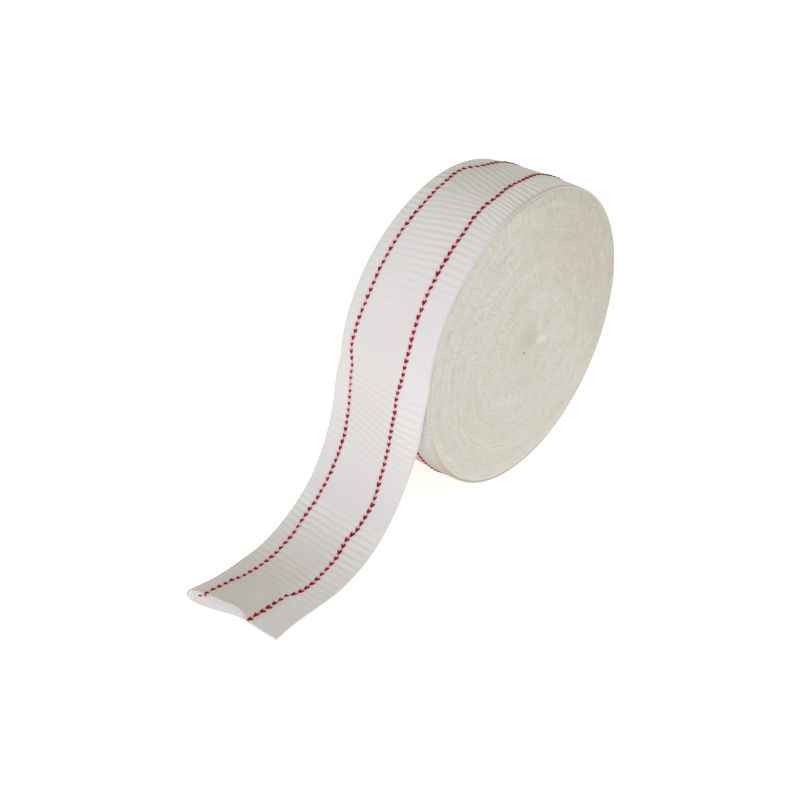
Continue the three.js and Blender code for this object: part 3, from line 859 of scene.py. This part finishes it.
# The marker lines: red yarn knitted in along the tube as two lines on each of its sides. A line shows
# as a chain of small hearts, one to every second course, each of two leaves of yarn that meet towards
# the cut, with the same yarn running thin and pale through the white between them.
stitch_pitch = 2.4 * mm
leaf_length, leaf_width, leaf_bulge = 2.0 * mm, 0.68 * mm, 0.75 * mm
leaf_turn, leaf_aside = 0.36, 0.22 * mm
first_leaf_back, second_leaf_share = 0.14 * mm, 0.86
thread_radius = 0.10 * mm
thread_step = 0.4 * mm
line_waver, line_waver_cell = 0.12 * mm, 3 * mm
over_tape, over_lining = 0.05 * mm, 0.1 * mm
clear_of_floor = 0.5 * mm
# The stitches of the two lines don't stand side by side. They end just short of the cut, and on the
# lower side they run only where it can be seen, off the roll and clear of the floor.
near_line_starts, far_line_starts = 0.4 * mm, 1.2 * mm
short_of_cut, hidden_length = 0.3 * mm, 30 * mm
# Inside the mouth one short dash of a marker line shows on the lower layer, this far in from the cut.
dash_from, dash_to = 4.0 * mm, 2.6 * mm
dash_line = {
    "from_top": [(tape_length - top_at) / mm - 4.2, (tape_length - top_at) / mm - 2.4],
    "across": [13.6, 15.0],
    "bold": [0.6, 0.6],
}


def marker_lines():
    """Open lines of points just over the tape, with the outward direction and the boldness at each."""
    points, edges, outward, bold = [], [], [], []
    last = tape_length - short_of_cut
    under_from, under_to = step_at + off_roll, tape_length - hidden_length
    runs = [(near_line, "upper side", near_line_starts, last),
            (far_line, "upper side", far_line_starts, last),
            (near_line, "lower side", under_from, under_to),
            (far_line, "lower side", under_from + 1 * mm, under_to),
            (dash_line, "lining", tape_length - dash_from, tape_length - dash_to)]
    for seed, (line, lies_on, begin, end) in enumerate(runs):
        at = np.arange(begin, end, thread_step)
        across = on_line(line, at) + line_waver * drift(at, line_waver_cell, 5 + seed)
        height = {"upper side": thickness_at(at, across) + over_tape,
                  "lower side": np.full(len(at), -over_tape),
                  "lining": np.full(len(at), layer_thickness + over_lining)}[lies_on]
        _, _, out_x, out_z, *_ = tape_frame(at)
        spots = tape_points(at, across, height, 1.0 if lies_on == "upper side" else 0.0)
        sign = -1 if lies_on == "lower side" else 1
        free = (spots[:, 2] > clear_of_floor) | (lies_on == "lining")
        first = len(points)
        edges.extend([first + k, first + k + 1] for k in range(len(at) - 1) if free[k] and free[k + 1])
        points.extend(spots.tolist())
        outward.extend(np.column_stack([sign * out_x, 0 * out_x, sign * out_z]).tolist())
        bold.extend(np.interp(at - top_at, np.array(line["from_top"]) * mm, line["bold"]).tolist())
    mesh = bpy.data.meshes.new("marker_stitches")
    mesh.from_pydata(points, edges, [])
    mesh.attributes.new("outward", "FLOAT_VECTOR", "POINT").data.foreach_set(
        "vector", np.array(outward, np.float32).ravel())
    mesh.attributes.new("bold", "FLOAT", "POINT").data.foreach_set("value", np.array(bold, np.float32))
    return object_from("marker_stitches", mesh)


def yarn_material():
    """Red cotton yarn: deep red, a little uneven in its dye, and pale where it runs under the white."""
    material = new_material("red_marker_yarn")
    tree = material.node_tree
    place = object_place(tree)
    uneven = cloud(tree, place, 900.0, 2.0)
    fibres = cloud(tree, place, 6000.0, 2.0)
    covered = point_values(tree, "covered")[0]
    red = mix_colours(tree, uneven, colour(128, 10, 30), colour(164, 22, 44))
    yarn = mix_colours(tree, covered, red, colour(232, 168, 172))
    return finish_material(material, {"Base Color": yarn, "Roughness": 0.85, "Specular IOR Level": 0.2,
                                      "Normal": bumped(tree, fibres, 0.5, 0.05 * mm)})


stitches = marker_lines()
red_yarn = yarn_material()
stitches.data.materials.append(red_yarn)
stitch_numbers = ("Pitch", "Length", "Width", "Bulge", "Turn", "Aside", "Thread Radius")
stitch_sizes = {**dict.fromkeys(stitch_numbers, "NodeSocketFloat"),
                "Seed": "NodeSocketInt", "Yarn": "NodeSocketMaterial"}
stitch_tree, given = new_tree("leaf_stitches", stitch_sizes)
path = add_node(stitch_tree, "GeometryNodeMeshToCurve", {"Mesh": given["Geometry"]})
spaced = add_node(stitch_tree, "GeometryNodeResampleCurve",
                  {"Curve": path, "Length": given["Pitch"]}, mode="LENGTH")
run = add_node(stitch_tree, "GeometryNodeInputTangent")
upward = named_value(stitch_tree, "outward", "FLOAT_VECTOR")
laid = add_node(stitch_tree, "FunctionNodeAxesToRotation",
                {"Primary Axis": upward, "Secondary Axis": run}, primary_axis="Z", secondary_axis="X")


def random_value(tree, low, high, seed):
    inputs = {2: low, 3: high, "Seed": seed}
    return add_node(tree, "FunctionNodeRandomValue", inputs, output=1, data_type="FLOAT")


def leaf(tree, hand, share, set_back):
    """One leaf of a heart: a small blob of yarn on the side that hand says, which meets the other ahead."""
    ball = add_node(tree, "GeometryNodeMeshUVSphere", {"Segments": 8, "Rings": 5, "Radius": 0.5})
    lying = add_node(tree, "GeometryNodeTransform", {"Geometry": ball, "Rotation": (0, math.pi / 2, 0)})
    size = vector(tree, given["Length"] * share, given["Width"] * share, given["Bulge"])
    turn = vector(tree, z=given["Turn"] * -hand)
    place = vector(tree, -set_back, given["Aside"] * hand)
    return add_node(tree, "GeometryNodeTransform",
                    {"Geometry": lying, "Scale": size, "Rotation": turn, "Translation": place})


def join(tree, *parts):
    joined = add_node(tree, "GeometryNodeJoinGeometry")
    for part in parts:
        tree.links.new(part.socket, joined.socket.node.inputs[0])
    return joined


heart = join(stitch_tree, leaf(stitch_tree, 1, 1.0, first_leaf_back),
             leaf(stitch_tree, -1, second_leaf_share, 0))
one_by_one = add_node(stitch_tree, "GeometryNodeInstanceOnPoints",
                      {"Points": spaced, "Instance": heart, "Rotation": laid,
                       "Scale": named_value(stitch_tree, "bold")})
length_share = random_value(stitch_tree, 0.85, 1.12, given["Seed"])
width_share = random_value(stitch_tree, 0.8, 1.15, given["Seed"] + 1)
share = vector(stitch_tree, length_share, width_share, width_share)
scaled = add_node(stitch_tree, "GeometryNodeScaleInstances", {"Instances": one_by_one, "Scale": share})
slant = vector(stitch_tree, z=random_value(stitch_tree, -0.28, 0.22, given["Seed"] + 2))
slanted = add_node(stitch_tree, "GeometryNodeRotateInstances", {"Instances": scaled, "Rotation": slant})
hearts = add_node(stitch_tree, "GeometryNodeRealizeInstances", {"Geometry": slanted})
ring = add_node(stitch_tree, "GeometryNodeCurvePrimitiveCircle",
                {"Resolution": 6, "Radius": given["Thread Radius"]})
thread = add_node(stitch_tree, "GeometryNodeCurveToMesh",
                  {"Curve": path, "Profile Curve": ring, "Fill Caps": True})
pale_thread = add_node(stitch_tree, "GeometryNodeStoreNamedAttribute",
                       {"Geometry": thread, "Name": "covered", "Value": 1.0},
                       data_type="FLOAT", domain="POINT")
chain = join(stitch_tree, hearts, pale_thread)
rounded = add_node(stitch_tree, "GeometryNodeSetShadeSmooth", {"Geometry": chain})
dyed = add_node(stitch_tree, "GeometryNodeSetMaterial", {"Geometry": rounded, "Material": given["Yarn"]})
run_tree(stitches, stitch_tree, dyed,
         {"Pitch": stitch_pitch, "Length": leaf_length, "Width": leaf_width, "Bulge": leaf_bulge,
          "Turn": leaf_turn, "Aside": leaf_aside, "Thread Radius": thread_radius,
          "Seed": 7, "Yarn": red_yarn})
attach(stitches, "root")

# The floor, the light and the camera of the photograph: a plain white floor, a pale surround, a large
# soft light from the left, and weaker ones from above and from the front.
floor_reach = 3.0
floor_corners = [(x * floor_reach, y * floor_reach, 0) for x, y in ((-1, -1), (1, -1), (1, 1), (-1, 1))]
floor_mesh = bpy.data.meshes.new("floor")
floor_mesh.from_pydata(floor_corners, [], [(0, 1, 2, 3)])
floor = object_from("floor", floor_mesh)
white = colour(255, 255, 255)
floor.data.materials.append(finish_material(new_material("pale_floor"), {
    "Base Color": white, "Roughness": 0.9, "Specular IOR Level": 0.1,
    "Emission Color": white, "Emission Strength": 0.60}))

world = bpy.data.worlds.new("studio")
bpy.context.scene.world = world
world.use_nodes = True
surround = world.node_tree.nodes["Background"]
surround.inputs["Color"].default_value = (1.0, 1.0, 0.91, 1)
surround.inputs["Strength"].default_value = 0.50

soft_box_size = 0.9


def look_at(thing, place, aim):
    thing.location = place
    thing.rotation_mode = "QUATERNION"
    thing.rotation_quaternion = (Vector(aim) - Vector(place)).to_track_quat("-Z", "Y")


def soft_box(name, place, aim, power, tint):
    light = bpy.data.lights.new(name, "AREA")
    light.shape, light.size, light.energy, light.color = "SQUARE", soft_box_size, power, tint
    look_at(object_from(name, light), place, aim)


soft_box("left_box", (-1.25, -0.3, 1.15), aim=(-0.03, 0, 0.05), power=7.5, tint=(0.87, 0.87, 1.0))
soft_box("top_box", (-0.1, 0, 1.5), aim=(-0.05, 0, 0.05), power=1.1, tint=(0.94, 0.95, 1.0))
soft_box("front_box", (-0.15, -1.3, 0.22), aim=(-0.02, 0, 0.05), power=1.45, tint=(0.82, 0.86, 1.0))

camera_data = bpy.data.cameras.new("photo_camera")
camera_data.lens = 48.5
camera = object_from("photo_camera", camera_data)
look_at(camera, (-0.26353, -0.19169, 0.24984), aim=(-0.04696, -0.0005, 0.04585))
bpy.context.scene.camera = camera
bpy.context.scene.view_settings.view_transform = "Standard"
